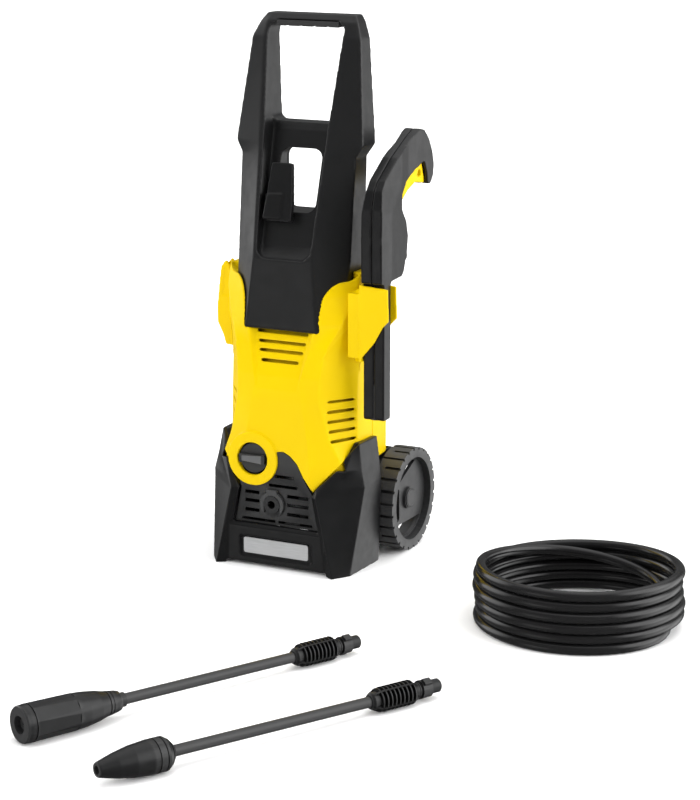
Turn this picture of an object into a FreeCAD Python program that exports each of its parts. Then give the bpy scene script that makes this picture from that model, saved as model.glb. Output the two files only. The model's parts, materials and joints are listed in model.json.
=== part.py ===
import FreeCAD, Part
import math
import os

# Upright electric pressure washer with its stored trigger gun, two spray lances and a coiled hose.
# Millimetres.  Origin on the floor under the middle of the machine, +X to the right seen from the
# front, -Y to the front, +Z up.

V = FreeCAD.Vector
os.makedirs("parts", exist_ok=True)

# ---------------------------------------------------------------- driving dimensions
WALL = 3.0                     # moulded casing wall
GAP = 0.3                      # assembly gap between separate mouldings
FIT = 0.05                     # radial running fit of a shaft in its bore

FOOT_FRONT = -115.0            # front edge of the feet
BASE_TOP = 127.7               # rear tub of the base, under the casing
CASING_BOTTOM = 104.0
CASING_TOP = 372.0
CASING_SPLIT = -16.5           # joint between the front and the rear casing

WHEEL_R, WHEEL_Y = 65.7, 48.7
WHEEL_IN, WHEEL_OUT = 88.5, 117.6
AXLE_R = 6.0

MOTOR_Y = -22.0                # the motor and pump stand on one vertical axis
SHAFT_R = 5.0
PLATE_Z, PLATE_TILT, PISTON_RADIUS, BALL_R = 146.0, 12.0, 18.0, 9.0
PISTON_R = 5.0
SPRING_TOP = 131.3             # the return springs at their compressed length
PUMP_R, PUMP_BOTTOM, HEAD_TOP, BLOCK_TOP, MOTOR_BOTTOM = 32.0, 66.0, 100.0, 119.0, 162.0

SWITCH_X, SWITCH_Z = -32.0, 138.6
SWITCH_HOLE_R, COLLAR_R = 20.7, 34.0
OUTLET_X, OUTLET_Z, PORT_R = -5.0, 83.0, 5.2

FACE_SLOPE = 13.8              # lean of the handle's front face, degrees

GUN_X, GUN_HALF = 118.0, 14.0
BARREL_Y, BARREL_BOTTOM = -63.8, 196.0
HOLSTER_TOP = 363.4
TRIGGER_PIVOT = (-12.0, 474.0)

SCREWS = [(x, z) for x in (-58, 58) for z in (175, 208, 240)]   # rear casing screws

COIL_X, COIL_Y = 405.0, -123.0
HOSE_D, COIL_R, COIL_TURNS = 12.5, 117.0, 6
PLUG_START_R, PLUG_TURN_IN = 95.0, 30.0
PLUG_R = 5.1                   # nose of a hose plug
TUBE_R, GRIP_R, LANCE_PLUG_R = 5.9, 13.4, 7.5

# ---------------------------------------------------------------- helpers


def save(name, *shapes):
    """Write one node: its solid, or its group of separate solids."""
    shape = shapes[0] if len(shapes) == 1 else Part.makeCompound(list(shapes))
    shape.exportStep(f"parts/{name}.step")
    print(f"{name:22s} {len(shape.Solids)} solids {shape.Volume / 1000:9.2f} cm3 {shape.isValid()}")


def box(x0, x1, y0, y1, z0, z1):
    return Part.makeBox(x1 - x0, y1 - y0, z1 - z0, V(x0, y0, z0))


def rod(radius, start, end):
    """Cylinder between two points."""
    start, end = V(*start), V(*end)
    return Part.makeCylinder(radius, (end - start).Length, start, end - start)


def tube(radius, bore, start, end):
    return rod(radius, start, end).cut(rod(bore, start, end))


def turned(profile, start, direction):
    """Solid of revolution: profile holds (distance along the axis, radius)."""
    points = [V(r, 0, s) for s, r in profile]
    points = [V(0, 0, profile[0][0])] + points + [V(0, 0, profile[-1][0])]
    kept = [p for i, p in enumerate(points) if i == 0 or (p - points[i - 1]).Length > 1e-6]
    solid = Part.Face(Part.makePolygon(kept + kept[:1])).revolve(V(0, 0, 0), V(0, 0, 1), 360)
    turn = FreeCAD.Rotation(V(0, 0, 1), V(*direction))
    solid.Placement = FreeCAD.Placement(V(*start), turn)
    return solid


def outline(points, radius=0.0):
    """Closed wire through 3-D points, its corners rounded."""
    if not radius:
        return Part.makePolygon(points + points[:1])
    edges, last = [], None
    count = len(points)
    ends = []
    for i, corner in enumerate(points):
        a = points[i - 1] - corner
        b = points[(i + 1) % count] - corner
        half = a.getAngle(b) / 2
        cut = min(radius / math.tan(half), 0.45 * a.Length, 0.45 * b.Length)
        r = cut * math.tan(half)
        a.normalize()
        b.normalize()
        middle = a + b
        if middle.Length < 1e-4 or cut < 0.05:
            ends.append((corner, corner, corner))
            continue
        middle.normalize()
        reach = r / math.sin(half) - r
        ends.append((corner + a * cut, corner + middle * reach, corner + b * cut))
    for i, (enter, mid, leave) in enumerate(ends):
        if (enter - leave).Length > 1e-3:
            edges.append(Part.Arc(enter, mid, leave).toShape())
        last = ends[(i + 1) % count][0]
        if (last - leave).Length > 1e-3:
            edges.append(Part.LineSegment(leave, last).toShape())
    return Part.Wire(edges)


def plate(plane, points, low, high, radius=0.0):
    """Prism: an outline in the plane "xy", "xz" or "yz" between two places on the third axis."""
    place = {"xy": lambda a, b: V(a, b, low), "xz": lambda a, b: V(a, low, b),
             "yz": lambda a, b: V(low, a, b)}[plane]
    along = {"xy": V(0, 0, high - low), "xz": V(0, high - low, 0), "yz": V(high - low, 0, 0)}[plane]
    return Part.Face(outline([place(a, b) for a, b in points], radius)).extrude(along)


def inset(points, depth):
    """Offset a closed outline of (x, y) points inwards; a negative depth moves it outwards."""
    area = sum(points[i - 1][0] * p[1] - p[0] * points[i - 1][1] for i, p in enumerate(points))
    side = depth if area > 0 else -depth
    moved = []
    for i, p in enumerate(points):
        before, after = points[i - 1], points[(i + 1) % len(points)]
        a = V(p[0] - before[0], p[1] - before[1], 0).normalize()
        b = V(after[0] - p[0], after[1] - p[1], 0).normalize()
        normal = V(-a.y - b.y, a.x + b.x, 0).normalize()
        stretch = max(0.35, normal.dot(V(-a.y, a.x, 0)))
        moved.append((p[0] + normal.x * side / stretch, p[1] + normal.y * side / stretch))
    return moved


def both(half):
    """Outline from its right half, front to rear, and its mirror image."""
    return list(half) + [(-x, y) for x, y in reversed(half)]


def loft(sections, depth=0.0):
    """Solid through outlines at rising heights: sections holds (z, points)."""
    wires = []
    for z, points in sections:
        wires.append(outline([V(x, y, z) for x, y in inset(points, depth)]))
    return Part.makeLoft(wires, True, True)


def mirrored(shape):
    return shape.mirror(V(0, 0, 0), V(1, 0, 0))


def fuse(first, *others):
    return first.multiFuse(list(others)).removeSplitter()


# ---------------------------------------------------------------- casing body

# Half outlines: front face edge, crease, side panel edge, split line, rear corner, rear face edge.
CASING = [
    (CASING_BOTTOM, both([(46, -104.5), (82, -89), (86, -54), (86, -17), (80, 30), (62, 54)])),
    (131, both([(45, -104), (85.5, -86.4), (89, -54), (90, -17), (86, 32), (66, 58)])),
    (170, both([(42, -103.5), (67, -93), (88, -54), (90, -17), (86, 32), (66, 60)])),
    (215, both([(34, -102.5), (56, -98), (87, -54), (90, -17), (86, 32), (66, 60)])),
    (245, both([(30, -100), (56, -97), (87, -52), (90, -16), (86, 32), (66, 60)])),
    (282, both([(40, -92), (62, -89.5), (90, -50), (96, -14), (88, 30), (64, 56)])),
    (308, both([(47.8, -89.5), (75, -75), (93, -49), (97, -12), (87, 26), (62, 48)])),
    (345, both([(56, -80.5), (88, -60), (93, -48), (95, -11), (84, 12), (60, 26)])),
    (CASING_TOP, both([(72, -63), (89, -50), (91, -47), (92, -11), (82, 0), (60, 8)])),
]

# Half outlines of the handle: flat front edge, side front edge, side rear edge.
HANDLE = [
    (300, both([(48.5, -89.0), (73, -68), (73, -12)])),
    (308, both([(47.8, -89.5), (74, -66), (74, -12)])),
    (387, both([(40, -84.8), (76.8, -53), (75.6, -9)])),
    (509, both([(46, -55), (77.6, -40.1), (76.2, -3.6)])),
    (524, both([(47, -51.4), (86.3, -37.7), (84.8, 2.3)])),
    (650, both([(55, -21.5), (73.6, -17), (72.2, 12.7)])),
    (668, both([(55, -12), (66, -8), (64.5, 17.5)])),
    (677, both([(52, -3), (59.8, -2.1), (58.7, 19.0)])),
]

casing_outer = loft(CASING)
casing_room = loft(CASING, -GAP)
casing_inner = loft(CASING, WALL)
handle_outer = loft(HANDLE)
handle_room = loft(HANDLE, -GAP)

# Lower edge of the front casing round the grille: right tip, hood over the outlet, switch collar.
HOOD = [(36.6, 121.5), (28, 138), (18.4, 147), (10, 151)]
COLLAR_START, COLLAR_END, COLLAR_STEPS = 20.0, -125.0, 12

# What is trimmed off above the rounded top of each wing beside the handle.
WING = [(44, 420), (44, 322), (50.5, 334), (53.4, 344), (57, 351.5), (62, 357), (68.6, 361.2), (75, 362.3),
        (80, 363), (86, 368), (90, 374), (90, 420)]


def grille_outline(shrink):
    """Grille edge in the XZ plane, shrink mm inside the casing's lower edge."""
    points = [(x - shrink, z - shrink) for x, z in HOOD]
    for i in range(COLLAR_STEPS + 1):
        angle = math.radians(COLLAR_START + (COLLAR_END - COLLAR_START) * i / COLLAR_STEPS)
        r = COLLAR_R + shrink
        points.append((SWITCH_X + r * math.cos(angle), SWITCH_Z + r * math.sin(angle)))
    return points


def front_casing():
    shell = casing_outer.cut(casing_inner.cut(box(-200, 200, -200, 200, CASING_TOP - 60, 400)))
    shell = shell.cut(handle_room).cut(box(-76, 76, -60, 100, 300, 400))
    shell = shell.common(box(-200, 200, -200, CASING_SPLIT, 0, 400))
    opening = [(49.6, 90), (49.6, 104)] + grille_outline(0) + [(-49.6, 104), (-49.6, 90)]
    shell = shell.cut(plate("xz", opening, -130, -90))
    collar = rod(COLLAR_R, (SWITCH_X, -107.0, SWITCH_Z), (SWITCH_X, -100.0, SWITCH_Z))
    hole = rod(SWITCH_HOLE_R, (SWITCH_X, -120, SWITCH_Z), (SWITCH_X, -90, SWITCH_Z))
    shell = fuse(shell, collar.cut(casing_inner)).cut(hole)
    cuts = [plate("xz", [(side * x, z) for x, z in WING], -130, -44) for side in (-1, 1)]
    for half_width, z in ((35.2, 298.5), (32.6, 286), (29.8, 275), (25.7, 263)):
        cuts.append(box(-half_width, half_width, -110, -70, z - 1.8, z + 1.8))
    for side in (-1, 1):
        for z in (216, 203.5, 191.5, 179.5, 167):
            slot = box(62, 96, -91, -56, z - 1.5, z + 1.5)
            cuts.append(slot if side > 0 else mirrored(slot))
    shell = shell.cut(Part.makeCompound(cuts))
    shell = max(shell.Solids, key=lambda s: s.Volume)
    return shell


def rear_casing():
    shell = casing_outer.cut(casing_inner.cut(box(-200, 200, -200, 200, CASING_TOP - WALL, 400)))
    shell = shell.common(box(-200, 200, CASING_SPLIT + GAP, 200, BASE_TOP + GAP, 400))
    neck = box(-78, 78, -60, -8, 290, 400)
    shell = shell.cut(neck).cut(handle_room)
    vents = []
    for i in range(8):
        z = 220 + 9 * i
        vents.append(box(-42, -6, 40, 70, z, z + 3.2))
        vents.append(box(6, 42, 40, 70, z, z + 3.2))
    shell = shell.cut(Part.makeCompound(vents))
    gland_hole = rod(8.0 + FIT, (-40, 40, 160), (-40, 80, 160))
    inlet_hole = rod(14.0 + FIT, (34, 40, 150), (34, 80, 150))
    shell = shell.cut(gland_hole).cut(inlet_hole)
    shell = shell.cut(Part.makeCompound([rod(1.9, (x, 40, z), (x, 70, z)) for x, z in SCREWS]))
    return max(shell.Solids, key=lambda s: s.Volume)


# ---------------------------------------------------------------- base

# Right leg: inner front, front corner, chamfer end, side rear, inner rear.
LEG = [
    (0, [(70, -108), (80.7, FOOT_FRONT), (96, -93), (100, -18), (80, -18)]),
    (100, [(50, -108), (58.5, -113.8), (104.5, -72), (104, -19), (80, -18)]),
    (110, [(56, -106), (67, -105), (105.4, -70.2), (104, -19), (80, -18)]),
    (131, [(76, -92), (86, -86.4), (100.5, -68), (101.5, -19), (80, -18)]),
    (162, [(86, -66), (89, -69), (95.5, -65), (97, -18), (86, -18)]),
]


def base_housing():
    hollow = loft(LEG, 3.5).common(box(0, 200, -200, 200, 3, 97))
    bottom = loft([(-1, LEG[0][1]), (4, LEG[0][1])], 3.5).common(box(0, 200, -85, 0, -5, 10))
    leg = loft(LEG).cut(hollow).cut(bottom).cut(casing_room)
    leg = max(leg.Solids, key=lambda s: s.Volume)
    plinth = plate("yz", [(-106.6, 4), (-110.7, 51.4), (-107, 55.5), (-102, 55.5), (-102, 4)], -68, 68)
    recess = plate("xz", [(-49.7, 11.7), (49.7, 11.7), (49.7, 38.9), (-49.7, 38.9)], -120, -105.0, 4)
    pan = fuse(box(-72, 72, -104, -18, 8, 12), box(-82, 82, -20, 60, 8, 12))
    tub = box(-82, 82, -18, 60, 8, BASE_TOP).cut(box(-79, 79, -40, 57, 12, 200))
    ends = []
    for side in (-1, 1):
        inner, outer = sorted((side * 72, side * 82))
        ends.append(rod(13, (inner, WHEEL_Y, WHEEL_R), (outer, WHEEL_Y, WHEEL_R)))
        inner, outer = sorted((side * 60, side * 82))
        ends.append(box(inner, outer, -21, -18, 8, 125))
        inner, outer = sorted((side * 20, side * 28))
        ends.append(box(inner, outer, -44, 0, 8, PUMP_BOTTOM))
    base = fuse(leg, mirrored(leg), plinth, pan, tub, *ends)
    base = base.cut(recess)
    bore = rod(AXLE_R, (-90, WHEEL_Y, WHEEL_R), (90, WHEEL_Y, WHEEL_R))
    base = base.cut(bore)
    for x in (-60, -30, 0, 30, 60):
        base = base.cut(box(x - 8, x + 8, -12, 40, 5, 15))
    return base


def badge_plate():
    return plate("xz", [(-44.8, 16.6), (44.8, 16.6), (44.8, 36.4), (-44.8, 36.4)], -107.0, -105.0, 2.5)


def front_grille():
    points = [(57.8, 56), (49.2, 100)] + grille_outline(0.4) + [(-49.2, 100), (-57.8, 56)]
    panel = plate("xz", points, -103.4, -100.4)
    cuts = [rod(17.3, (OUTLET_X, -110, OUTLET_Z), (OUTLET_X, -95, OUTLET_Z))]
    slots = [(-48.6, -2, 60.5, 3.4), (2, 49.2, 60.5, 3.4), (-11, 29, 106.7, 4), (-2, 24, 119, 4)]
    for z in (72, 84, 95):
        slots += [(-44, -24, z, 4.5), (14.5, 44, z, 4.5)]
    for x0, x1, z, tall in slots:
        cuts.append(box(x0, x1, -110, -95, z - tall / 2, z + tall / 2))
    return panel.cut(Part.makeCompound(cuts))


# ---------------------------------------------------------------- handle

WINDOW = [(-43.5, 547.5), (43.5, 547.5), (51.8, 666), (-51.8, 666)]
RECESS = [(-28, 387), (28, 387), (36.4, 395), (43.5, 560), (-43.5, 560), (-36.4, 395)]
HOLE = [(-28, 441), (28, 441), (28, 516), (-28, 516)]


def handle_frame():
    frame = handle_outer.cut(plate("xz", WINDOW, -100, 100, 10))
    depth = plate("yz", [(-130, 380), (-84, 385), (-66, 401), (-22, 538), (-26, 560), (-130, 560)],
                  -60, 60)
    frame = frame.cut(depth.common(plate("xz", RECESS, -130, 60, 8)))
    pocket = plate("yz", [(-62, 401), (-18.5, 534), (-18.5, 542), (30, 542), (30, 401)], -39, 39)
    ring = plate("xz", [(-31, 438), (31, 438), (31, 519), (-31, 519)], -100, -12, 15)
    pocket = pocket.cut(ring)
    lower = loft(HANDLE[:3], WALL).common(box(-100, 100, -100, 100, 290, 383))
    hole = plate("xz", HOLE, -100, 100, 12)
    frame = frame.cut(pocket).cut(lower).cut(hole)
    arm = loft(HANDLE[4:6], 4.0).common(box(0, 100, -100, 100, 528, 646))
    arm = arm.cut(plate("xz", inset(WINDOW, -4.0), -130, 130)).cut(box(0, 50, -200, 100, 500, 551))
    arm = arm.common(box(0, 200, -100, 100, 530, 646))
    grip_room = box(-42, 42, -14, 12, 660, 669)
    return frame.cut(grip_room).cut(arm).cut(mirrored(arm))


def handle_rear_cover():
    panel = box(-38.7, 38.7, -12, -9, 401.3, 541.7)
    return panel.cut(plate("xz", HOLE, -100, 100, 12))


def grip_insert():
    bar = box(-41.8, 41.8, -13.8, 11.8, 662, 668.8)
    for i in range(4):
        x = -27 + 18 * i
        bar = bar.cut(box(x - 2, x + 2, -20, 20, 661, 663.5))
    return bar


def hose_hook():
    """Upright tongue on a boss, standing in front of the left half of the panel opening."""
    edge = [(-33.5, 430), (5.5, 430), (4.8, 455), (-0.5, 501.5), (-28.2, 501), (-31, 464)]
    tongue = plate("xz", edge, -64, -56, 3)
    pad = plate("xz", [(-33, 432), (-8, 433), (-8.6, 463), (-29.5, 462)], -66.0, -60, 1.5)
    front = fuse(tongue, pad)
    front.rotate(V(0, -60, 465), V(1, 0, 0), -FACE_SLOPE)
    boss = plate("yz", [(-67, 431), (-57.1, 431), (-46.8, 462), (-59, 462)], -36, -29.5)
    return fuse(front, boss)


# ---------------------------------------------------------------- holders on the casing sides

def gun_holster():
    """Open channel on the right side: front wall, rear wall and the wall on the casing."""
    lip = [(100, HOLSTER_TOP), (138, HOLSTER_TOP - 3), (139, 321), (131, 313), (120, 293), (104, 274),
           (100, 270)]
    front = plate("xz", lip, -77.3, -74.3)
    rear = plate("xz", lip, -53.0, -50.0)
    inner = box(100, 103, -77.3, -50, 268, HOLSTER_TOP)
    foot = box(84, 100.5, -76, -50, 272, 352).cut(casing_outer)
    foot = max(foot.Solids, key=lambda s: s.Volume)
    return fuse(front, rear, inner, foot)


def lance_holder():
    """Upright pocket on the left side, open at the top, that a stored lance's end stands in."""
    lobe = [(-84, 262), (-103, 264), (-107, 277), (-114.5, 292), (-115, 310), (-111, 345), (-108.5, 363),
            (-101, 373), (-95.5, 366), (-92.5, 345), (-91, 318), (-84, 300)]
    body = plate("xz", lobe, -42, -23.5, 2)
    room = [(-96, 400), (-96, 345), (-94.5, 318), (-97, 292), (-108, 292), (-111.5, 302), (-107.5, 345),
            (-105, 360), (-105, 400)]
    dent = plate("xz", [(-95.5, 326), (-94.5, 352), (-99, 364), (-105, 352), (-107.5, 326)], -43, -41.2)
    body = body.cut(plate("xz", room, -39.6, -25.9)).cut(dent).cut(casing_outer)
    return max(body.Solids, key=lambda s: s.Volume)


# ---------------------------------------------------------------- switch, outlet, inlet

def switch_knob():
    disc = rod(18.5, (SWITCH_X, -103.0, SWITCH_Z), (SWITCH_X, -98.0, SWITCH_Z))
    bar = box(SWITCH_X - 17.5, SWITCH_X + 17.5, -108.5, -102.5, SWITCH_Z - 5.5, SWITCH_Z + 5.5)
    stem = rod(4.0, (SWITCH_X, -98.5, SWITCH_Z), (SWITCH_X, -84.0, SWITCH_Z))
    return fuse(disc, bar.common(rod(18.0, (SWITCH_X, -110, SWITCH_Z), (SWITCH_X, -98, SWITCH_Z))), stem)


def switch_body():
    body = box(SWITCH_X - 16, SWITCH_X + 16, -93, -76, SWITCH_Z - 18, SWITCH_Z + 18)
    flange = tube(27.0, 21.5, (SWITCH_X, -100.7, SWITCH_Z), (SWITCH_X, -91.0, SWITCH_Z))
    rim = rod(27.0, (SWITCH_X, -93, SWITCH_Z), (SWITCH_X, -90, SWITCH_Z))
    body = fuse(body, fuse(rim, flange).common(casing_inner))
    return body.cut(rod(4.0 + FIT, (SWITCH_X, -96, SWITCH_Z), (SWITCH_X, -82, SWITCH_Z)))


def outlet_fitting():
    sleeve = rod(11.0, (OUTLET_X, -56.0, OUTLET_Z), (OUTLET_X, -108.5, OUTLET_Z))
    flange = rod(17.0, (OUTLET_X, -100.0, OUTLET_Z), (OUTLET_X, -104.0, OUTLET_Z))
    bore = rod(PORT_R, (OUTLET_X, -70.0, OUTLET_Z), (OUTLET_X, -110.0, OUTLET_Z))
    return fuse(sleeve, flange).cut(bore)


def outlet_clip():
    """Horseshoe release clip that slides up round the outlet."""
    ring = tube(16.0, 11.3, (OUTLET_X, -107.6, OUTLET_Z), (OUTLET_X, -104.3, OUTLET_Z))
    ring = ring.cut(box(OUTLET_X - 11.2, OUTLET_X + 11.2, -120, -90, OUTLET_Z - 30, OUTLET_Z))
    tab = box(OUTLET_X - 7, OUTLET_X + 7, -107.6, -104.3, OUTLET_Z + 14.6, OUTLET_Z + 18.5)
    lift = box(OUTLET_X - 11.2, OUTLET_X + 11.2, -120, -90, OUTLET_Z - 4, OUTLET_Z + 0.5)
    return fuse(ring, tab).cut(lift)


def inlet_fitting():
    """Garden-hose thread on the rear and the pipe forward to the pump."""
    rim = rod(17.0, (34, 60.3, 150), (34, 62.6, 150))
    stem = rod(13.2, (34, 56.0, 150), (34, 78.0, 150))
    flange = rod(14.0, (34, 50.0, 150), (34, 60.5, 150))
    pipe = rod(6.0, (34, -3.5, 150), (34, 50.5, 150))
    elbow = rod(5.5, (34, 4.0, 152), (34, 4.0, 78))
    link = rod(5.0, (38, 7.5, 85), (18, -10.5, 85))
    bore = rod(9.0, (34, 54.0, 150), (34, 90.0, 150))
    body = stem.fuse(flange).fuse(rim).fuse(pipe).fuse(elbow).fuse(link).cut(bore)
    return body.cut(rod(PUMP_R, (0, MOTOR_Y, 50), (0, MOTOR_Y, 135)))


def cable_gland():
    """Ferrule for the mains lead: a stem in the rear wall and a flange outside it."""
    stem = rod(8.0, (-40, 48, 160), (-40, 68, 160))
    flange = rod(11.0, (-40, 60.3, 160), (-40, 63, 160))
    return fuse(stem, flange).cut(rod(3.6, (-40, 40, 160), (-40, 80, 160)))


def inlet_strainer():
    basket = tube(8.8, 7.6, (34, 54.2, 150), (34, 74.0, 150))
    return fuse(basket, rod(8.8, (34, 54.2, 150), (34, 55.8, 150)))


# ---------------------------------------------------------------- motor and pump

def on_axis(radius, z0, z1):
    return rod(radius, (0, MOTOR_Y, z0), (0, MOTOR_Y, z1))


def ring_on_axis(radius, bore, z0, z1):
    return on_axis(radius, z0, z1).cut(on_axis(bore, z0 - 1, z1 + 1))


def motor_housing():
    can = ring_on_axis(50, 47, 166, 288)
    floor = ring_on_axis(50, 11, MOTOR_BOTTOM, 166)
    top = ring_on_axis(50, 11, 284, 288)
    vents = []
    for i in range(8):
        slot = box(8, 60, -3, 3, 262, 280)
        slot.rotate(V(0, 0, 0), V(0, 0, 1), 45 * i)
        slot.translate(V(0, MOTOR_Y, 0))
        vents.append(slot)
    return fuse(can, floor, top).cut(Part.makeCompound(vents))


def motor_rotor():
    core = on_axis(26, 186, 236)
    ends = [on_axis(21, 178, 244), on_axis(13, 246, 258)]
    shaft = on_axis(SHAFT_R, 137, 292)
    ball = Part.makeSphere(BALL_R, V(0, MOTOR_Y, PLATE_Z))
    return fuse(core, shaft, ball, *ends)


def motor_fan():
    hub = ring_on_axis(9, SHAFT_R, 264, 276)
    disc = ring_on_axis(40, SHAFT_R, 264, 265.6)
    blades = []
    for i in range(9):
        blade = box(8, 39, -0.8, 0.8, 265, 276)
        blade.rotate(V(0, 0, 0), V(0, 0, 1), 40 * i)
        blade.translate(V(0, MOTOR_Y, 0))
        blades.append(blade)
    return fuse(hub, disc, *blades)


def wobble_plate():
    """Tilted disc round the shaft's ball: it rocks as the shaft turns and pushes the pistons down."""
    disc = fuse(rod(27, (0, 0, -3), (0, 0, 3)), rod(15, (0, 0, -3), (0, 0, 6)))
    disc.rotate(V(0, 0, 0), V(0, 1, 0), -PLATE_TILT)
    disc.translate(V(0, MOTOR_Y, PLATE_Z))
    return disc.cut(Part.makeSphere(BALL_R + FIT, V(0, MOTOR_Y, PLATE_Z)))


def piston_place(index):
    angle = math.radians(120 * index)
    x = PISTON_RADIUS * math.cos(angle)
    drop = 3.0 / math.cos(math.radians(PLATE_TILT)) - x * math.tan(math.radians(PLATE_TILT))
    drop += PISTON_R * math.tan(math.radians(PLATE_TILT))
    return x, MOTOR_Y + PISTON_RADIUS * math.sin(angle), PLATE_Z - drop - GAP


def piston(index):
    x, y, top = piston_place(index)
    return fuse(rod(PISTON_R, (x, y, 104), (x, y, top)), rod(7.2, (x, y, top - 6), (x, y, top - 3.5)))


def piston_springs():
    rings = []
    for i in range(3):
        x, y, _ = piston_place(i)
        rings.append(tube(7.4, PISTON_R + 0.5, (x, y, BLOCK_TOP), (x, y, SPRING_TOP)))
    return rings


def pump_block():
    """Cylinder block and the housing round the wobble plate, up to the motor."""
    block = fuse(on_axis(PUMP_R, HEAD_TOP, BLOCK_TOP), ring_on_axis(PUMP_R, 29.5, BLOCK_TOP, MOTOR_BOTTOM))
    for i in range(3):
        x, y, _ = piston_place(i)
        block = block.cut(rod(PISTON_R + FIT, (x, y, 98), (x, y, 121)))
    return block


def pump_head():
    head = on_axis(PUMP_R, PUMP_BOTTOM, HEAD_TOP)
    for i in range(3):
        x, y, _ = piston_place(i)
        head = head.cut(rod(PISTON_R + 0.5, (x, y, 94.5), (x, y, HEAD_TOP + 1)))
    return head.cut(rod(11.0, (OUTLET_X, -120, OUTLET_Z), (OUTLET_X, -44.0, OUTLET_Z)))


# ---------------------------------------------------------------- wheels

def wheel():
    """Right wheel: one moulding with a blocky tread, a dished web with three windows and a hub."""
    profile = [(0, WHEEL_R), (WHEEL_OUT - WHEEL_IN, WHEEL_R)]
    body = turned(profile, (WHEEL_IN, WHEEL_Y, WHEEL_R), (1, 0, 0))

    def centre(x):
        return (x, WHEEL_Y, WHEEL_R)

    body = body.cut(rod(53, centre(108.5), centre(130)))
    body = body.cut(rod(53, centre(80), centre(104)))
    body = fuse(body, rod(14, centre(WHEEL_IN), centre(112)))
    notches, windows = [], []
    for i in range(26):
        notch = box(WHEEL_IN - 1, WHEEL_OUT + 1, -1.8, 1.8, WHEEL_R - 3.2, WHEEL_R + 3)
        if i % 2:
            notch = notch.common(box(WHEEL_IN + 9, 200, -10, 10, 0, 100))
        notch.rotate(V(0, 0, 0), V(1, 0, 0), 360 / 26 * i)
        notch.translate(V(0, WHEEL_Y, WHEEL_R))
        notches.append(notch)
    rim = rod(49.5, (100, 0, 0), (112, 0, 0))
    for points in WHEEL_WINDOWS:
        window = rim.common(plate("yz", points, 100, 112, 2.5))
        window.translate(V(0, WHEEL_Y, WHEEL_R))
        windows.append(window)
    body = body.cut(Part.makeCompound(notches)).cut(Part.makeCompound(windows))
    return body.cut(rod(AXLE_R + FIT, centre(80), centre(108.2)))


# Windows of the web: above its upper chord, in front of it and below it, parted by two spokes.
WHEEL_WINDOWS = [
    [(-26, 24), (34, 49), (34, 70), (-70, 70), (-70, 27)],
    [(-25, 17.5), (-24, -23.5), (-70, -42), (-70, 20)],
    [(-24, -30), (40, -32), (40, -70), (-70, -70), (-70, -47)],
]


def hub_cap():
    return turned([(112, 12.5), (113.4, 12.5), (114.4, 10.5)], (0, WHEEL_Y, WHEEL_R), (1, 0, 0))


# ---------------------------------------------------------------- trigger gun

GUN = [(-73.3, BARREL_BOTTOM), (-73.3, 365.3), (-80.5, 365.3), (-81.5, 420), (-80, 456), (-74, 477),
       (-64, 489), (-47, 499.5), (-28, 511.5), (0, 524.5), (20, 534), (36, 540), (50, 537), (64, 524),
       (74, 508), (79, 491), (77, 478), (68, 467.5), (60, 469.5), (58, 482), (50, 499), (24, 491), (0, 479),
       (-14, 465), (-15, 450), (-6, 438), (1, 432), (7, 412), (4, 394), (-7, 371), (-13, 365.3),
       (-54.3, 365.3), (-54.3, BARREL_BOTTOM)]
# Half widths of the gun by height and by depth.
GUN_BY_HEIGHT = [(GUN_HALF, 100), (GUN_HALF, 450), (12.5, 465), (10.8, 480), (10.8, 600)]
GUN_BY_DEPTH = [(GUN_HALF, -100), (GUN_HALF, -52), (8.8, 6), (10.8, 30), (10.8, 100)]
TRIGGER = [(-20, 478), (-19, 458), (-12, 452), (0, 460), (12, 467), (33, 474), (59, 470), (58, 478),
           (50.5, 499), (24, 490), (0, 481)]
TRIGGER_ANGLE = 7.0


def gun_body():
    body = plate("yz", GUN, GUN_X - GUN_HALF, GUN_X + GUN_HALF, 4)
    for plane, half in (("xz", GUN_BY_HEIGHT), ("xy", GUN_BY_DEPTH)):
        envelope = [(GUN_X + w, place) for w, place in half] + [(GUN_X - w, place) for w, place in half[::-1]]
        low, high = (-100, 100) if plane == "xz" else (100, 600)
        body = body.common(plate(plane, envelope, low, high))
    turn_room = plate("yz", inset(TRIGGER, -0.6), GUN_X - 6.6, GUN_X + 6.6)
    cuts = [turn_room]
    for step in (0.34, 0.67, 1.0):
        turned_room = turn_room.copy()
        turned_room.rotate(V(GUN_X, *TRIGGER_PIVOT), V(1, 0, 0), TRIGGER_ANGLE * step + 0.4)
        cuts.append(turned_room)
    for room in cuts:
        body = body.cut(room)
    socket = rod(8.45, (GUN_X, BARREL_Y, 190), (GUN_X, BARREL_Y, 240.3))
    channel = rod(6.3, (GUN_X, BARREL_Y, 200), (GUN_X, BARREL_Y, 402))
    body = fuse(body, rod(8.5, (GUN_X, -20, 388), (GUN_X, 6, 388)))
    hose_port = rod(PORT_R, (GUN_X, -30, 388), (GUN_X, 20, 388))
    pin = rod(2.0, (GUN_X - 9.4, *TRIGGER_PIVOT), (GUN_X + 9.4, *TRIGGER_PIVOT))
    catch_room = box(GUN_X - 6.3, GUN_X + 6.3, -4.3, 20, 398.7, 420.3)
    return body.cut(socket).cut(channel).cut(hose_port).cut(pin).cut(catch_room)


def gun_trigger():
    lever = plate("yz", TRIGGER, GUN_X - 6.0, GUN_X + 6.0, 1.5)
    lever = lever.cut(plate("yz", [(38, 480), (50, 480), (50, 488), (42, 488)], 80, 150, 3))
    return lever.cut(rod(2.0 + FIT, (GUN_X - 20, *TRIGGER_PIVOT), (GUN_X + 20, *TRIGGER_PIVOT)))


def gun_valve():
    body = rod(6.0, (GUN_X, BARREL_Y, 240.6), (GUN_X, BARREL_Y, 400))
    return body.cut(rod(3.0, (GUN_X, BARREL_Y, 230), (GUN_X, BARREL_Y, 390)))


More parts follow.
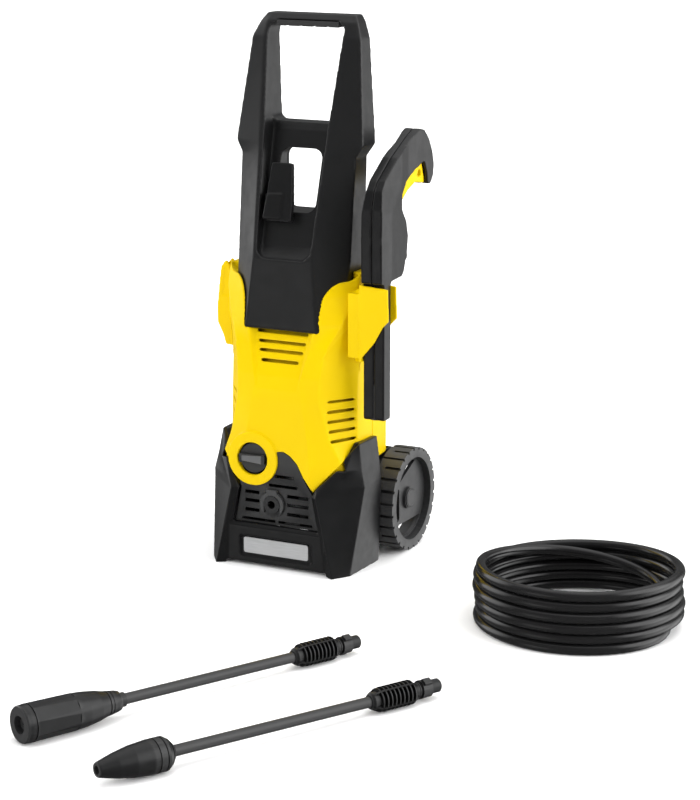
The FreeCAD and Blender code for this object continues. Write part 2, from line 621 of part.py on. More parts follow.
def lance_socket():
    return tube(8.4, LANCE_PLUG_R + 0.1, (GUN_X, BARREL_Y, BARREL_BOTTOM + 0.5), (GUN_X, BARREL_Y, 240))


# ---------------------------------------------------------------- lances

class Lance:
    """Lance lying on the floor: places parts turned about its own axis, measured from the tip."""

    def __init__(self, tip, end, head_r, rest):
        flat = V(end[0] - tip[0], end[1] - tip[1], 0)
        self.length = flat.Length
        self.rise = (GRIP_R - head_r) / (self.length - 39.0 - rest)
        self.start = V(tip[0], tip[1], head_r - rest * self.rise)
        self.along = (flat.normalize() + V(0, 0, self.rise)).normalize()

    def put(self, shape):
        turn = FreeCAD.Rotation(V(0, 0, 1), self.along)
        roll = FreeCAD.Rotation(V(0, 0, 1), 90)
        shape.Placement = FreeCAD.Placement(self.start, turn.multiply(roll)).multiply(shape.Placement)
        return shape

    def turned(self, *profile):
        return self.put(turned(list(profile), (0, 0, 0), (0, 0, 1)))

    def grooves(self, shape, radius, depth, *places):
        for s in places:
            ring = tube(radius + 5, radius - depth, (0, 0, s), (0, 0, s + 1.2))
            shape = shape.cut(self.put(ring))
        return shape


vario = Lance((29.1, -718.1), (219.9, -328.6), 20.2, 35.0)
blaster = Lance((157.0, -776.9), (355.1, -412.9), 17.7, 74.0)
VARIO_HEAD, BLASTER_HEAD = 118.0, 84.0
GRIP_L, PLUG_L = 60.0, 31.0


def lance_tube(lance, head):
    return lance.turned((head - 20, TUBE_R), (lance.length - PLUG_L - GRIP_L + 12, TUBE_R))


def lance_grip(lance):
    """Coupling sleeve: a core with thin rings between four long fins, the top one broad."""
    start = lance.length - PLUG_L - GRIP_L
    end = start + GRIP_L
    envelope = turned([(start, 7.4), (start + 3, 9.5), (start + 8, 12.2), (start + 14, 13.2),
                       (end - 8, GRIP_R), (end - 2, 11.0), (end, 8.6)], (0, 0, 0), (0, 0, 1))
    solids = [turned([(start, 7.4), (start + 3, 9.5), (start + 9, 9.5), (start + 9, 8.6), (end, 8.6)],
                     (0, 0, 0), (0, 0, 1))]
    for i in range(9):
        s = start + 10 + 5.2 * i
        solids.append(envelope.common(box(-20, 20, -20, 20, s, s + 1.5)))
    solids.append(envelope.common(box(-20, 20, -0.9, 0.9, start, end)))
    solids.append(envelope.common(box(-0.9, 0.9, -20, 20, start, end)))
    solids.append(envelope.common(box(0, 20, -4.5, 4.5, start, end - 3)))
    hollow = rod(TUBE_R, (0, 0, start - 1), (0, 0, start + 12))
    return lance.put(fuse(*solids).cut(hollow))


def lance_plug(lance):
    """Bayonet plug: a ringed neck, a collar with two wings, and the nose."""
    start = lance.length - PLUG_L
    end = lance.length
    plug = turned([(start, 8.2), (start + 5, 8.2), (start + 5, 9.8), (start + 17, 9.8),
                   (start + 17, LANCE_PLUG_R), (end - 1.5, LANCE_PLUG_R), (end, 6.2)], (0, 0, 0), (0, 0, 1))
    wings = box(-12.4, 12.4, -4, 4, start + 7, start + 16)
    plug = fuse(plug, wings.common(rod(12.4, (0, 0, start), (0, 0, end))))
    for s in (start + 1, start + 3.2):
        plug = plug.cut(tube(12, 7.4, (0, 0, s), (0, 0, s + 1)))
    return lance.put(plug.cut(rod(2.5, (0, 0, start + 12), (0, 0, end + 1))))


def vario_head():
    """Twist sleeve that sets the jet: eight flats between a front ring and a tapered tail."""
    sleeve = vario.turned((0, 18.6), (1.5, 19.6), (10, 20.2), (62, 19.4), (75, 18.4), (90, 16.2), (100, 13.6),
                          (113, 11.7), (VARIO_HEAD - 1, 10.6))
    for i in range(8):
        flat = box(18.6, 30, -20, 20, 11.5, 62)
        flat.rotate(V(0, 0, 0), V(0, 0, 1), 22.5 + 45 * i)
        sleeve = sleeve.cut(vario.put(flat))
    sleeve = vario.grooves(sleeve, 20.2, 1.2, 9.8)
    sleeve = vario.grooves(sleeve, 13.2, 0.9, 101, 105)
    return sleeve.cut(vario.turned((-1, 9.65), (VARIO_HEAD, 9.65)))


def vario_nozzle():
    core = vario.turned((5, 6), (9, 9.6), (VARIO_HEAD - 8, 9.6), (VARIO_HEAD - 8, 7.8),
                        (VARIO_HEAD + 6, 7.8))
    tail = vario.turned((VARIO_HEAD - 20, TUBE_R), (VARIO_HEAD + 7, TUBE_R))
    return core.cut(tail).cut(vario.turned((4, 1.6), (30, 1.6)))


def blaster_head():
    """Bullet-shaped rotary nozzle with ring grooves at its broad end."""
    body = blaster.turned((0, 7.2), (1.5, 8.0), (7, 9.4), (20, 12.8), (38, 16.1), (57, 17.7), (74, 17.7),
                          (79, 14.5), (BLASTER_HEAD, 9))
    body = blaster.grooves(body, 17.7, 0.9, 62, 70)
    body = blaster.grooves(body, 14.5, 0.9, 78)
    chamber = blaster.turned((20, 6), (34, 12), (66, 13.5))
    mouth = blaster.turned((-1, 4.5), (21, 4.5))
    tail = blaster.turned((BLASTER_HEAD - 20, TUBE_R), (BLASTER_HEAD + 1, TUBE_R))
    return body.cut(chamber).cut(mouth).cut(tail)


def blaster_rotor():
    return blaster.turned((24, 3), (34, 7), (60, 11.5), (63, 11.5)).cut(blaster.turned((20, 1), (50, 1)))


# ---------------------------------------------------------------- hose

def hose_coil():
    """Outer shape of the wound hose: a stack of turns with an inner layer beside it."""
    return tube(COIL_R + HOSE_D / 2, COIL_R - 1.5 * HOSE_D, (COIL_X, COIL_Y, 0),
                (COIL_X, COIL_Y, COIL_TURNS * HOSE_D))


def hose_plug(angle, side):
    """Push-in fitting that leaves the inner layer of the coil: bend sleeve, collar and grooved pin."""
    place = math.radians(angle)
    heading = math.radians(angle + side * (90 + PLUG_TURN_IN))
    x = COIL_X + PLUG_START_R * math.cos(place)
    y = COIL_Y + PLUG_START_R * math.sin(place)
    along = (math.cos(heading), math.sin(heading), 0)
    profile = [(0, 8.2), (18, 9.0), (18, 10.2), (26, 10.2), (26, PLUG_R), (31, PLUG_R), (31, 4.3),
               (33, 4.3), (33, PLUG_R), (41, PLUG_R), (43, 4.3)]
    return turned(profile, (x, y, 10.2), along)


# ---------------------------------------------------------------- small parts

def casing_screws():
    screws = []
    for x, z in SCREWS:
        screws.append(fuse(rod(4.0, (x, 60, z), (x, 62.2, z)), rod(1.9, (x, 46, z), (x, 60.5, z))))
    return screws


def motor_bearings():
    return [ring_on_axis(11 - FIT, SHAFT_R, z, z + 4) for z in (162, 284)]


def carbon_brushes():
    return [box(side * 20.5 - 7, side * 20.5 + 7, MOTOR_Y - 4, MOTOR_Y + 4, 248, 256)
            for side in (-1, 1)]


def write_parts():
    save("base_housing", base_housing())
    save("front_grille", front_grille())
    save("badge_plate", badge_plate())
    save("front_casing", front_casing())
    save("rear_casing", rear_casing())
    save("handle_frame", handle_frame())
    save("handle_rear_cover", handle_rear_cover())
    save("grip_insert", grip_insert())
    save("hose_hook", hose_hook())
    save("gun_holster", gun_holster())
    save("lance_holder", lance_holder())
    save("switch_knob", switch_knob())
    save("switch_body", switch_body())
    save("outlet_fitting", outlet_fitting())
    save("outlet_clip", outlet_clip())
    save("inlet_fitting", inlet_fitting())
    save("inlet_strainer", inlet_strainer())
    save("cable_gland", cable_gland())
    save("motor_housing", motor_housing())
    save("motor_stator", ring_on_axis(46.7, 27.5, 188, 234))
    save("motor_windings", ring_on_axis(44, 29, 234.2, 245), ring_on_axis(44, 29, 177, 187.8))
    save("motor_rotor", motor_rotor())
    save("motor_fan", motor_fan())
    save("motor_bearings", *motor_bearings())
    save("carbon_brushes", *carbon_brushes())
    save("wobble_plate", wobble_plate())
    for i in range(3):
        save(f"piston_{i + 1}", piston(i))
    save("piston_springs", *piston_springs())
    save("pump_block", pump_block())
    save("pump_head", pump_head())
    save("pressure_switch", box(-24, -6, 0, 31, 68, 96).cut(on_axis(PUMP_R, 60, 110)))
    save("noise_capacitor", rod(11, (-72.6, 20, 140), (-72.6, 20, 176)))
    save("wheel_axle", rod(AXLE_R, (-108, WHEEL_Y, WHEEL_R), (108, WHEEL_Y, WHEEL_R)))
    save("wheel_right", wheel())
    save("wheel_left", mirrored(wheel()))
    save("hub_cap_right", hub_cap())
    save("hub_cap_left", mirrored(hub_cap()))
    save("casing_screws", *casing_screws())
    gun = gun_body()
    save("gun_shell_left", gun.common(box(0, GUN_X, -200, 200, 0, 700)))
    save("gun_shell_right", gun.common(box(GUN_X, 300, -200, 200, 0, 700)))
    save("gun_trigger", gun_trigger())
    save("trigger_pin", rod(2.0, (GUN_X - 9.2, *TRIGGER_PIVOT), (GUN_X + 9.2, *TRIGGER_PIVOT)))
    save("hose_release", box(GUN_X - 6, GUN_X + 6, -4, 10, 403, 416))
    save("gun_valve", gun_valve())
    save("lance_socket", lance_socket())
    save("vario_tube", lance_tube(vario, VARIO_HEAD))
    save("vario_grip", lance_grip(vario))
    save("vario_plug", lance_plug(vario))
    save("vario_head", vario_head())
    save("vario_nozzle", vario_nozzle())
    save("blaster_tube", lance_tube(blaster, BLASTER_HEAD))
    save("blaster_grip", lance_grip(blaster))
    save("blaster_plug", lance_plug(blaster))
    save("blaster_head", blaster_head())
    save("blaster_rotor", blaster_rotor())
    save("hose_coil", hose_coil())
    save("hose_machine_plug", hose_plug(245, -1))
    save("hose_gun_plug", hose_plug(40, 1))


write_parts()
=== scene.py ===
import bpy
import bmesh
import json
import math
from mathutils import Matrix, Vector


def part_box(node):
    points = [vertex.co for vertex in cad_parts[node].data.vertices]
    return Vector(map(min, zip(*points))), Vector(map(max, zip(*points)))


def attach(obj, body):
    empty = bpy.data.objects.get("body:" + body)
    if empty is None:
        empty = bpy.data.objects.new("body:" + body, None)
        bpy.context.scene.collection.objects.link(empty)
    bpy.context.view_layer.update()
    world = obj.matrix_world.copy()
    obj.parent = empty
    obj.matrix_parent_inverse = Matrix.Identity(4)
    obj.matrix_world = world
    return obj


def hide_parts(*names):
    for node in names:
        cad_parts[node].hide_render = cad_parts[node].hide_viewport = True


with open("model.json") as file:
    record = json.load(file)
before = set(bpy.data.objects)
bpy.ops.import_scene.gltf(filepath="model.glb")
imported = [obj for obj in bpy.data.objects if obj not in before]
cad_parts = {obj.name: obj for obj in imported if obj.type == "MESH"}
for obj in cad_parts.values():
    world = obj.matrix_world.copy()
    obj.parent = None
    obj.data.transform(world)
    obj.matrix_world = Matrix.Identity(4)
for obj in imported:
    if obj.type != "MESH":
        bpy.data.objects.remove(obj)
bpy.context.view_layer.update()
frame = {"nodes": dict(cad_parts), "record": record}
nodes = frame["nodes"]
MM = 0.001

# ---------------------------------------------------------------- camera, light, floor

CAMERA_TARGET = Vector((0.1065, -0.115, 0.2304))
CAMERA_AZIMUTH, CAMERA_PITCH, CAMERA_DISTANCE = math.radians(25.84), math.radians(14.02), 2.7473
CAMERA_LENS = 103.2
WORLD_BASE = 0.14              # strength of the studio between its soft boxes
# Studio soft boxes: direction, cosine where the glow starts and where it is full, strength.
SOFT_BOXES = [((-0.95, 0.1, 0.3), 0.84, 0.97, 2.0), ((0.85, 0.2, 0.4), 0.8, 0.95, 2.4),
              ((0.75, 0.6, -0.25), 0.75, 0.95, 1.6), ((0.0, 0.3, 0.95), 0.6, 0.97, 1.0),
              ((-0.42, -0.87, -0.25), 0.94, 0.99, 0.7)]
FLOOR_HALF = 40.0


def add_camera():
    back = Vector((math.sin(CAMERA_AZIMUTH) * math.cos(CAMERA_PITCH),
                   -math.cos(CAMERA_AZIMUTH) * math.cos(CAMERA_PITCH), math.sin(CAMERA_PITCH)))
    data = bpy.data.cameras.new("camera")
    data.lens = CAMERA_LENS
    camera = bpy.data.objects.new("camera", data)
    camera.location = CAMERA_TARGET + back * CAMERA_DISTANCE
    camera.rotation_euler = back.to_track_quat("Z", "Y").to_euler()
    bpy.context.collection.objects.link(camera)
    bpy.context.scene.camera = camera


def add_sun(name, direction, strength, spread):
    """A large soft light from far away; direction points from the object to the light.

    Gloss shows the studio's soft boxes instead of it.
    """
    data = bpy.data.lights.new(name, "SUN")
    data.energy = strength
    data.angle = math.radians(spread)
    lamp = bpy.data.objects.new(name, data)
    lamp.rotation_euler = Vector(direction).to_track_quat("Z", "Y").to_euler()
    lamp.visible_glossy = False
    bpy.context.collection.objects.link(lamp)


def add_studio():
    """Even pale surroundings with soft boxes in them."""
    world = bpy.data.worlds.new("studio")
    bpy.context.scene.world = world
    world.use_nodes = True
    tree = world.node_tree
    place = tree.nodes.new("ShaderNodeTexCoord")
    total = None
    for direction, outer, inner, strength in SOFT_BOXES:
        aim = tree.nodes.new("ShaderNodeVectorMath")
        aim.operation = "DOT_PRODUCT"
        aim.inputs[1].default_value = Vector(direction).normalized()
        tree.links.new(place.outputs["Generated"], aim.inputs[0])
        lobe = ramp(tree, aim.outputs["Value"], [(outer, 0.0), (inner, 1.0)])
        add = tree.nodes.new("ShaderNodeMath")
        add.operation = "MULTIPLY_ADD"
        add.inputs[1].default_value = strength
        add.inputs[2].default_value = WORLD_BASE
        tree.links.new(lobe, add.inputs[0])
        if total:
            tree.links.new(total, add.inputs[2])
        total = add.outputs["Value"]
    tree.links.new(total, tree.nodes["Background"].inputs["Strength"])
    tree.nodes["Background"].inputs["Color"].default_value = (1, 1, 1, 1)


def add_stage():
    bpy.context.scene.view_settings.view_transform = "Standard"
    add_studio()
    corners = [(x * FLOOR_HALF, y * FLOOR_HALF, 0) for x, y in ((-1, -1), (1, -1), (1, 1), (-1, 1))]
    floor = mesh_piece("floor", corners, [(0, 1, 2, 3)])
    floor.data.materials.append(floor_material())
    floor.visible_glossy = False
    add_sun("key", (-0.55, -0.85, 0.5), 2.0, 45)
    add_sun("fill", (0.95, -0.05, 0.45), 1.9, 50)
    add_sun("top", (0.05, 0.1, 1.0), 1.6, 60)


def mesh_piece(name, points, faces, smooth=False):
    mesh = bpy.data.meshes.new(name)
    mesh.from_pydata([tuple(p) for p in points], [], faces)
    mesh.update()
    piece = bpy.data.objects.new(name, mesh)
    bpy.context.collection.objects.link(piece)
    for face in mesh.polygons:
        face.use_smooth = smooth
    return piece


def clamp(value):
    return max(0.0, min(1.0, value))


def soft(value):
    value = clamp(value)
    return value * value * (3 - 2 * value)


# ---------------------------------------------------------------- materials

def start_material(name):
    material = bpy.data.materials.new(name)
    material.use_nodes = True
    tree = material.node_tree
    return material, tree, tree.nodes["Principled BSDF"]


def noise(tree, scale, detail=3.0, stretch=(1, 1, 1), rough=0.55):
    place = tree.nodes.new("ShaderNodeTexCoord")
    mapping = tree.nodes.new("ShaderNodeMapping")
    mapping.inputs["Scale"].default_value = stretch
    texture = tree.nodes.new("ShaderNodeTexNoise")
    texture.inputs["Scale"].default_value = scale
    texture.inputs["Detail"].default_value = detail
    texture.inputs["Roughness"].default_value = rough
    tree.links.new(place.outputs["Object"], mapping.inputs["Vector"])
    tree.links.new(mapping.outputs["Vector"], texture.inputs["Vector"])
    return texture.outputs["Fac"]


def ramp(tree, factor, stops):
    node = tree.nodes.new("ShaderNodeValToRGB")
    elements = node.color_ramp.elements
    for i, (place, colour) in enumerate(stops):
        element = elements[i] if i < 2 else elements.new(place)
        element.position = place
        element.color = (*colour, 1) if isinstance(colour, tuple) else (colour, colour, colour, 1)
    tree.links.new(factor, node.inputs["Fac"])
    return node.outputs["Color"]


def tinted(colour, amount):
    return tuple(min(1.0, c * amount) for c in colour)


def moulded(name, colour, rough, grain=0.15, grain_size=0.0006, wear=0.25, spread=0.08, gloss=0.4):
    """Moulded plastic: faint cloudy colour, spark-eroded grain, lighter rubbed edges."""
    material, tree, shader = start_material(name)
    links = tree.links
    cloud = ramp(tree, noise(tree, 9.0),
                 [(0.3, tinted(colour, 1 - spread)), (0.7, tinted(colour, 1 + spread))])
    geometry = tree.nodes.new("ShaderNodeNewGeometry")
    edge = ramp(tree, geometry.outputs["Pointiness"], [(0.52, 0.0), (0.60, wear)])
    mix = tree.nodes.new("ShaderNodeMix")
    mix.data_type = "RGBA"
    links.new(edge, mix.inputs["Factor"])
    links.new(cloud, mix.inputs["A"])
    mix.inputs["B"].default_value = (*(c + (0.25 - 0.2 * c) * 0.35 for c in colour), 1)
    links.new(mix.outputs["Result"], shader.inputs["Base Color"])
    links.new(ramp(tree, noise(tree, 60.0), [(0.3, rough - 0.05), (0.7, rough + 0.06)]),
              shader.inputs["Roughness"])
    bump = tree.nodes.new("ShaderNodeBump")
    bump.inputs["Strength"].default_value = grain
    bump.inputs["Distance"].default_value = grain_size * 0.12
    links.new(noise(tree, 0.6 / grain_size, 2.0), bump.inputs["Height"])
    links.new(bump.outputs["Normal"], shader.inputs["Normal"])
    shader.inputs["Specular IOR Level"].default_value = gloss
    return material


def metal(name, colour, rough, stretch=(1, 1, 1), scale=400.0, metallic=1.0):
    """Metal, or silver lacquer with a low metallic share, with a fine drawn grain."""
    material, tree, shader = start_material(name)
    shader.inputs["Metallic"].default_value = metallic
    grain = noise(tree, scale, 4.0, stretch)
    tree.links.new(ramp(tree, grain, [(0.3, tinted(colour, 0.85)), (0.7, tinted(colour, 1.1))]),
                   shader.inputs["Base Color"])
    tree.links.new(ramp(tree, grain, [(0.3, rough - 0.07), (0.7, rough + 0.08)]),
                   shader.inputs["Roughness"])
    bump = tree.nodes.new("ShaderNodeBump")
    bump.inputs["Strength"].default_value = 0.2
    bump.inputs["Distance"].default_value = 0.00004
    tree.links.new(grain, bump.inputs["Height"])
    tree.links.new(bump.outputs["Normal"], shader.inputs["Normal"])
    return material


def floor_material():
    material, tree, shader = start_material("studio_floor")
    tree.links.new(ramp(tree, noise(tree, 1.5), [(0.3, 0.97), (0.7, 0.99)]),
                   shader.inputs["Base Color"])
    shader.inputs["Roughness"].default_value = 0.75
    return material


def make_materials():
    return {
        "black_plastic": moulded("black_plastic", (0.0056, 0.0057, 0.006), 0.34),
        "handle_plastic": moulded("handle_plastic", (0.009, 0.0091, 0.0094), 0.36),
        "yellow_plastic": moulded("yellow_plastic", (0.67, 0.465, 0.0), 0.42, 0.08, 0.0008, 0.12,
                                  0.03, 0.1),
        "wheel_plastic": moulded("wheel_plastic", (0.024, 0.0243, 0.025), 0.42),
        "badge_silver": metal("badge_silver", (0.42, 0.425, 0.43), 0.5, (1, 30, 40), 60.0, 0.25),
        "grey_plastic": moulded("grey_plastic", (0.022, 0.0225, 0.023), 0.4),
        "knob_grey": moulded("knob_grey", (0.09, 0.091, 0.093), 0.35),
        "soft_grip": moulded("soft_grip", (0.004, 0.004, 0.0042), 0.45),
        "hose_rubber": moulded("hose_rubber", (0.004, 0.004, 0.0042), 0.2, 0.1, 0.0015, gloss=0.5),
        "steel": metal("steel", (0.6, 0.6, 0.62), 0.3),
        "copper_wire": metal("copper_wire", (0.72, 0.36, 0.18), 0.35),
        "cast_aluminium": metal("cast_aluminium", (0.62, 0.63, 0.65), 0.45),
        "brass": metal("brass", (0.78, 0.6, 0.3), 0.3),
        "carbon": moulded("carbon", (0.03, 0.03, 0.03), 0.5),
    }


# ---------------------------------------------------------------- hose

HOSE_D, COIL_R = 12.5, 117.0    # of the hose, and of the outer stack's centre line, in millimetres
COIL_X, COIL_Y = 405.0, -123.0
LANE_R = 104.3                 # the way down inside the stack
PLUG_R, PLUG_Z = 95.0, 10.2    # where both plugs start
FLOOR_Z, PITCH = 6.3, 12.3     # height of the lowest turn, and from one layer to the next
START = 40.0                   # bearing of the gun plug, degrees
# Angles counted on over the turns: at the gun plug, on the outer stack, leaving it at the top, on the
# floor inside, at the machine plug.
LEAD, MERGE, CROSSING, LANDED, END = 245.0, 315.0, 2245.0, 2500.0, 2560.0
RAMPS = [(520 + 360 * k, 670 + 360 * k) for k in range(5)]   # where it climbs one layer
STEPS_PER_TURN = 14


def layer_height(angle):
    return FLOOR_Z + PITCH * sum(soft((angle - low) / (high - low)) for low, high in RAMPS)


def hose_place(angle):
    """Radius and height of the hose's centre line at an angle, counted on over the turns."""
    if angle <= MERGE:
        t = (angle - LEAD) / (MERGE - LEAD)
        return PLUG_R + (COIL_R - PLUG_R) * soft(t), PLUG_Z + (FLOOR_Z - PLUG_Z) * soft(2.5 * t)
    if angle <= CROSSING:
        slack = 1.8 * math.sin(angle * 0.0133 + 0.6) * soft((angle - MERGE) / 90)
        return COIL_R + slack, layer_height(angle)
    top = layer_height(angle)
    fall = clamp((angle - CROSSING) / (LANDED - CROSSING))
    inward = soft((angle - CROSSING + 15) / 75)
    turn_in = soft((angle - END + 42) / 42)
    radius = COIL_R + (LANE_R - COIL_R) * inward + (PLUG_R - LANE_R) * turn_in
    return radius, top + (FLOOR_Z - top) * fall ** 1.2 + (PLUG_Z - FLOOR_Z) * turn_in


def hose_points():
    """From the gun plug out along the floor, up the stack, and over and down inside."""
    count = round((END - LEAD) * STEPS_PER_TURN / 360)
    # The spline runs a little inside its control points.
    reach = math.cos(math.pi / STEPS_PER_TURN) ** 0.5
    points = []
    for i in range(count + 1):
        angle = LEAD + (END - LEAD) * i / count
        radius, height = hose_place(angle)
        a = math.radians(START - (angle - LEAD))
        points.append(((COIL_X + radius / reach * math.cos(a)) * MM,
                       (COIL_Y + radius / reach * math.sin(a)) * MM, height * MM))
    return points


def add_hose(material):
    curve = bpy.data.curves.new("hose", "CURVE")
    curve.dimensions = "3D"
    curve.bevel_depth = HOSE_D / 2 * MM
    curve.bevel_resolution = 6
    curve.resolution_u = 8
    points = hose_points()
    spline = curve.splines.new("NURBS")
    spline.points.add(len(points) - 1)
    for place, point in zip(points, spline.points):
        point.co = (*place, 1.0)
    spline.order_u = 3
    spline.use_endpoint_u = True
    hose = bpy.data.objects.new("hose", curve)
    bpy.context.collection.objects.link(hose)
    curve.materials.append(material)
    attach(hose, "hose")
    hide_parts("hose_coil")


# ---------------------------------------------------------------- dressing the CAD nodes

def dress(material_of):
    for entry in frame["record"]["subparts"]:
        node = nodes[entry["node"]]
        node.data.materials.clear()
        node.data.materials.append(material_of[entry["material_slot"]])


# ---------------------------------------------------------------- mouldings with soft edges

def joined(source, blocks):
    """One bmesh with a copy of a CAD node and extra convex blocks, each given by its corners."""
    work = bmesh.new()
    work.from_mesh(nodes[source].data)
    bmesh.ops.remove_doubles(work, verts=work.verts, dist=0.00001)
    for corners in blocks:
        verts = [work.verts.new([c * MM for c in corner]) for corner in corners]
        hull = bmesh.ops.convex_hull(work, input=verts)
        inside = [g for g in hull["geom_interior"] if isinstance(g, bmesh.types.BMVert)]
        bmesh.ops.delete(work, geom=inside, context="VERTS")
    return work


def sculpted(name, body, source, voxel, passes, material, blocks=(), shape=None):
    """One moulding with every edge softly rounded, which stands for the CAD node it is made from.

    voxel is the remesh size in millimetres, and shape moves each point (x, y, z), in millimetres.
    """
    sharp = bpy.data.meshes.new(name)
    work = joined(source, blocks)
    work.to_mesh(sharp)
    work.free()
    piece = bpy.data.objects.new(name, sharp)
    bpy.context.collection.objects.link(piece)
    remesh = piece.modifiers.new("remesh", "REMESH")
    remesh.mode = "VOXEL"
    remesh.voxel_size = voxel * MM
    smooth = piece.modifiers.new("smooth", "SMOOTH")
    smooth.factor = 0.5
    smooth.iterations = passes
    graph = bpy.context.evaluated_depsgraph_get()
    mesh = bpy.data.meshes.new_from_object(piece.evaluated_get(graph))
    piece.modifiers.clear()
    piece.data = mesh
    if shape:
        for vertex in mesh.vertices:
            vertex.co = Vector(shape(*[c / MM for c in vertex.co])) * MM
    for face in mesh.polygons:
        face.use_smooth = True
    mesh.materials.clear()
    mesh.materials.append(materials[material])
    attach(piece, body)
    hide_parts(source)


# Straight edge of the casing over a leg, and its plane's normal as seen from the front right.
TIP_SIDE, TIP_Y, TIP_Z = 49.6, -104.5, 104.0
LEG_NORMAL = (0.718, 0.160, -0.678)


def below_leg_line(side, y, z):
    """Distance below the straight edge between the casing's front tip and the leg's top corner."""
    return (LEG_NORMAL[0] * (side - TIP_SIDE) + LEG_NORMAL[1] * (y - TIP_Y)
            + LEG_NORMAL[2] * (z - TIP_Z))


def base_shape(x, y, z):
    """Legs end at one straight edge: what is above it goes behind the casing."""
    if abs(x) < 60 or y > -52 or z < 108:
        return x, y, z
    return x, y + 6.0 * soft(-below_leg_line(abs(x), y, z) / 2.5), z


def leg_block(side):
    """Thickness behind the upper front of a leg, so that its edge on the casing is solid."""
    edge = [(50.5, -107.5, 101), (58.5, -113.5, 101), (56, -106, 110), (67, -105, 110),
            (76, -92, 131), (86, -86.4, 131)]
    return [(side * x, y, z) for x, y, z in edge] + [(side * (x - 1), y + 7, z) for x, y, z in edge]


def casing_shape(x, y, z):
    """Front casing: a louvred V recess, a crease across each arm, tips tucked behind the legs."""
    side = abs(x)
    if y > -50:
        return x, y, z
    # The recess deepens upwards, from the V's foot at z 228 to its top at z 305.
    rise = clamp((z - 228) / 77)
    inner, outer = 27.0 + 8.0 * rise, 28.5 + 19.5 * rise
    depth = 7.5 * rise * (1 - soft((side - inner) / (outer - inner)))
    # The crease leaves the point (53.6, 264.6) upwards and outwards.
    below = (side - 53.6) * 0.838 - (z - 264.6) * 0.545
    along = (side - 53.6) * 0.545 + (z - 264.6) * 0.838
    facet = clamp(below / 16) * 1.8 * soft(along / 12) * (1 - soft((along - 40) / 25))
    crest = 0.7 * math.exp(-(below / 1.5) ** 2) * soft(along / 10) * (1 - soft((along - 48) / 10))
    tuck = (5.0 * soft(below_leg_line(side, y, z) / 2.5) * soft((160 - z) / 5)
            * soft((-52 - y) / 8))
    lift = 0.8 * soft((z - 306) / 6)
    return (x - math.copysign(tuck * 0.6, x), y + depth + facet - crest + tuck - lift,
            z - 0.26 * depth)


GUN_MIDDLE = 118.0             # the plane between the gun's two shells


def gun_shape(x, y, z):
    """A little more room round the trigger and the hose catch, whose slots the rounding narrows."""
    off = x - GUN_MIDDLE
    if y < -22 or z < 396 or abs(off) > 8:
        return x, y, z
    drop = 1.2 * soft((404 - z) / 4) if y > -6 else 0.0
    back = 0.5 * soft((-2 - y) / 2) if y > -8 and z < 424 else 0.0
    return x + math.copysign(0.6 * soft((abs(off) - 3) / 3), off), y - back, z - drop


# Fill between the casing and the holster, which gives the holster its slanted inner front.
HOLSTER_FILL = [(82, -62, 350), (82, -52, 350), (103.2, -77, 361), (103.2, -52, 361),
                (82, -62, 285), (82, -52, 285), (103.2, -76.8, 279), (103.2, -52, 279),
                (86, -58, 262), (101, -66, 266)]


# ---------------------------------------------------------------- small pieces

# Back edge of the knob's bar, (x, z) from the middle: it is wider at its right end.
BAR_OUTLINE = [(-15.5, 3.6), (-15.5, -3.6), (15.5, -6.0), (15.5, 6.0)]
BAR_THICK, BAR_PROUD, BAR_TAPER = 4.5, 0.9, 0.86


def add_knob_bar(material):
    """Tapered finger bar on the switch knob."""
    low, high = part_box("switch_knob")
    middle_x, middle_z = (low[0] + high[0]) / 2, (low[2] + high[2]) / 2
    points = []
    for size, y in ((1.0, low[1] + BAR_THICK * MM), (BAR_TAPER, low[1] - BAR_PROUD * MM)):
        points += [(middle_x + x * size * MM, y, middle_z + z * size * MM) for x, z in BAR_OUTLINE]
    faces = [(4, 5, 6, 7), (0, 4, 7, 3), (1, 2, 6, 5), (0, 1, 5, 4), (3, 7, 6, 2), (0, 3, 2, 1)]
    bar = mesh_piece("knob_bar", points, faces)
    bevel = bar.modifiers.new("bevel", "BEVEL")
    bevel.width = 0.7 * MM
    bevel.segments = 3
    bar.data.materials.append(material)
    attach(bar, "switch")


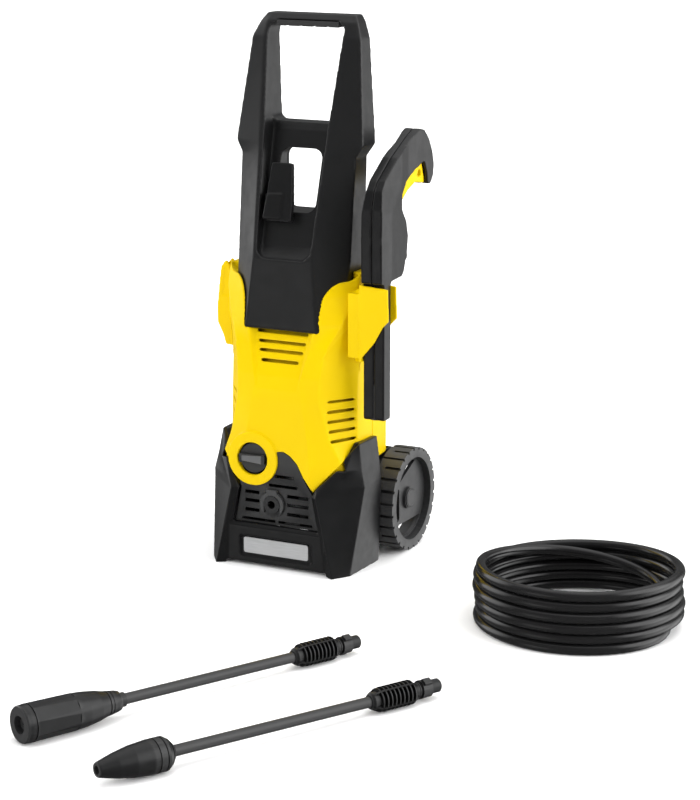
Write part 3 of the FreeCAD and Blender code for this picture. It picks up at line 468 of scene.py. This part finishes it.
# Wall behind the louvres: height, half width of its flat front, y of the front and of the sides.
BACKING_ROWS = [(150, 60, -86, -50), (190, 58, -86, -50), (225, 52, -88, -50), (255, 48, -85, -48),
                (310, 56, -72, -44)]
BACKING_SIDE, BACKING_SHIFT, BACKING_WALL = 84, 4, 1.2


def add_louvre_backing(material):
    """Inner wall seen through the front and side louvres, a few millimetres behind the casing."""
    points, faces = [], []
    for z, flat, front, back in BACKING_ROWS:
        row = [(-BACKING_SIDE, back), (-flat, front), (-flat * 0.4, front - 2),
               (flat * 0.4, front - 2), (flat, front), (BACKING_SIDE, back)]
        points += [(x * MM, (y + BACKING_SHIFT) * MM, z * MM) for x, y in row]
    for i in range(len(BACKING_ROWS) - 1):
        for a in range(6 * i, 6 * i + 5):
            faces.append((a, a + 1, a + 7, a + 6))
    backing = mesh_piece("louvre_backing", points, faces, True)
    wall = backing.modifiers.new("wall", "SOLIDIFY")
    wall.thickness = BACKING_WALL * MM
    backing.data.materials.append(material)
    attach(backing, "machine")


# ---------------------------------------------------------------- the scene

add_camera()
materials = make_materials()
add_stage()
dress(materials)
add_hose(materials["hose_rubber"])
YELLOW, BLACK = "yellow_plastic", "black_plastic"
sculpted("casing_front_shell", "machine", "front_casing", 1.1, 6, YELLOW, shape=casing_shape)
sculpted("holster_shell", "machine", "gun_holster", 1.1, 8, YELLOW, [HOLSTER_FILL])
sculpted("casing_rear_shell", "machine", "rear_casing", 1.1, 3, YELLOW)
sculpted("lance_holder_shell", "machine", "lance_holder", 1.2, 8, YELLOW)
sculpted("handle_shell", "machine", "handle_frame", 1.6, 4, "handle_plastic")
sculpted("base_shell", "machine", "base_housing", 1.1, 4, BLACK, [leg_block(-1), leg_block(1)],
         base_shape)
add_knob_bar(materials["knob_grey"])
sculpted("hook_shell", "machine", "hose_hook", 1.2, 6, BLACK)
sculpted("gun_left_shell", "gun", "gun_shell_left", 1.1, 10, BLACK, shape=gun_shape)
sculpted("gun_right_shell", "gun", "gun_shell_right", 1.1, 10, BLACK, shape=gun_shape)
sculpted("trigger_shell", "trigger", "gun_trigger", 0.9, 8, YELLOW)
add_louvre_backing(materials["yellow_plastic"])
